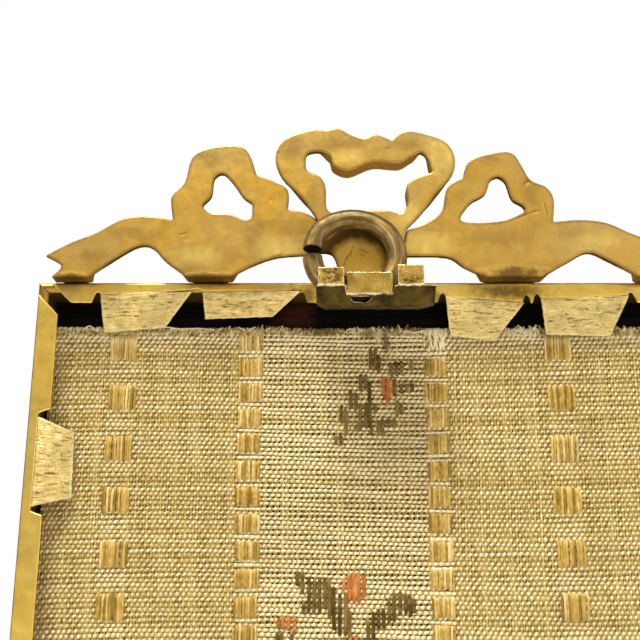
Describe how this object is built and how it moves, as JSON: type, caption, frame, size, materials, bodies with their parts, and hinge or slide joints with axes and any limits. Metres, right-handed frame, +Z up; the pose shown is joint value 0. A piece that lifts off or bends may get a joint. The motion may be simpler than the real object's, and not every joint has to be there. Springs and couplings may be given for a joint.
{
  "type": "hanging picture frame",
  "caption": "Gilt brass hanging picture frame with an openwork ribbon-bow crest, split hanging ring, bendable retaining tabs and a silk-covered backing board.",
  "frame": {"origin": "middle of the underside of the bottom rail", "axes": "+Z up to the crest, +Y out of the glass front, -Y out of the silk back, +X to the right seen from the back"},
  "size_m": [0.085, 0.0162, 0.1371],
  "materials": {
    "gilt_brass": "worn gilt, filed back",
    "strip_brass": "smooth lacquered sheet",
    "tab_brass": "pale scuffed sheet",
    "bracket_brass": "solder-stained sheet",
    "ring_bronze": "dark aged wire",
    "glass": "polished",
    "mat_card": "cream card",
    "print_card": "plain toned print",
    "greyboard": "pulp board",
    "silk_brocade": "aged woven silk with floats"
  },
  "bodies": {
    "frame_body": {"bottom_rail": "gilt_brass", "right_rail": "gilt_brass", "top_rail": "gilt_brass", "left_rail": "gilt_brass", "bottom_beading": "gilt_brass", "right_beading": "gilt_brass", "top_beading": "gilt_brass", "left_beading": "gilt_brass", "crest_ribbon_left": "gilt_brass", "crest_ribbon_right": "gilt_brass", "crest_bow": "gilt_brass", "bottom_strip": "strip_brass", "right_strip": "strip_brass", "top_strip": "strip_brass", "left_strip": "strip_brass", "ring_bracket": "bracket_brass", "glass": "glass", "window_mat": "mat_card", "picture_card": "print_card", "backing_board": "greyboard", "silk_cover": "silk_brocade"},
    "hanging_ring": {"hanging_ring": "ring_bronze"},
    "bottom_tab_1": {"bottom_tab_1": "tab_brass"},
    "bottom_tab_2": {"bottom_tab_2": "tab_brass"},
    "bottom_tab_3": {"bottom_tab_3": "tab_brass"},
    "bottom_tab_4": {"bottom_tab_4": "tab_brass"},
    "right_tab_1": {"right_tab_1": "tab_brass"},
    "right_tab_2": {"right_tab_2": "tab_brass"},
    "right_tab_3": {"right_tab_3": "tab_brass"},
    "top_tab_1": {"top_tab_1": "tab_brass"},
    "top_tab_2": {"top_tab_2": "tab_brass"},
    "top_tab_3": {"top_tab_3": "tab_brass"},
    "top_tab_4": {"top_tab_4": "tab_brass"},
    "left_tab_1": {"left_tab_1": "tab_brass"},
    "left_tab_2": {"left_tab_2": "tab_brass"},
    "left_tab_3": {"left_tab_3": "tab_brass"}
  },
  "joints": [
    {"name": "ring_swing", "type": "hinge", "parent": "frame_body", "child": "hanging_ring", "pos_m": [-0.0012, -0.00976, 0.1126], "axis": [1, 0, 0], "range_deg": [0, 20]},
    {"name": "bottom_tab_1_bend", "type": "hinge", "parent": "frame_body", "child": "bottom_tab_1", "pos_m": [-0.028, -0.0042, 0.0015], "axis": [1, 0, 0], "range_deg": [0, 105]},
    {"name": "bottom_tab_2_bend", "type": "hinge", "parent": "frame_body", "child": "bottom_tab_2", "pos_m": [-0.0115, -0.0042, 0.0015], "axis": [1, 0, 0], "range_deg": [0, 105]},
    {"name": "bottom_tab_3_bend", "type": "hinge", "parent": "frame_body", "child": "bottom_tab_3", "pos_m": [0.0115, -0.0042, 0.0015], "axis": [1, 0, 0], "range_deg": [0, 105]},
    {"name": "bottom_tab_4_bend", "type": "hinge", "parent": "frame_body", "child": "bottom_tab_4", "pos_m": [0.028, -0.0042, 0.0015], "axis": [1, 0, 0], "range_deg": [0, 105]},
    {"name": "right_tab_1_bend", "type": "hinge", "parent": "frame_body", "child": "right_tab_1", "pos_m": [0.041, -0.0042, 0.0225], "axis": [0, 0, 1], "range_deg": [0, 105]},
    {"name": "right_tab_2_bend", "type": "hinge", "parent": "frame_body", "child": "right_tab_2", "pos_m": [0.041, -0.0042, 0.05775], "axis": [0, 0, 1], "range_deg": [0, 105]},
    {"name": "right_tab_3_bend", "type": "hinge", "parent": "frame_body", "child": "right_tab_3", "pos_m": [0.041, -0.0042, 0.0925], "axis": [0, 0, 1], "range_deg": [0, 105]},
    {"name": "top_tab_1_bend", "type": "hinge", "parent": "frame_body", "child": "top_tab_1", "pos_m": [-0.0284, -0.0042, 0.11447], "axis": [-0.9989, 0, -0.0466], "range_deg": [0, 105]},
    {"name": "top_tab_2_bend", "type": "hinge", "parent": "frame_body", "child": "top_tab_2", "pos_m": [-0.0147, -0.0042, 0.11467], "axis": [-1, 0, -0.004], "range_deg": [0, 105]},
    {"name": "top_tab_3_bend", "type": "hinge", "parent": "frame_body", "child": "top_tab_3", "pos_m": [0.0158, -0.0042, 0.1135], "axis": [-0.9968, 0, 0.0797], "range_deg": [0, 105]},
    {"name": "top_tab_4_bend", "type": "hinge", "parent": "frame_body", "child": "top_tab_4", "pos_m": [0.0289, -0.0042, 0.11385], "axis": [-0.999, 0, -0.0438], "range_deg": [0, 105]},
    {"name": "left_tab_1_bend", "type": "hinge", "parent": "frame_body", "child": "left_tab_1", "pos_m": [-0.041, -0.0042, 0.0225], "axis": [0, 0, -1], "range_deg": [0, 105]},
    {"name": "left_tab_2_bend", "type": "hinge", "parent": "frame_body", "child": "left_tab_2", "pos_m": [-0.041, -0.0042, 0.05775], "axis": [0, 0, -1], "range_deg": [0, 105]},
    {"name": "left_tab_3_bend", "type": "hinge", "parent": "frame_body", "child": "left_tab_3", "pos_m": [-0.041, -0.0042, 0.0925], "axis": [0, 0, -1], "range_deg": [0, 105]}
  ]
}
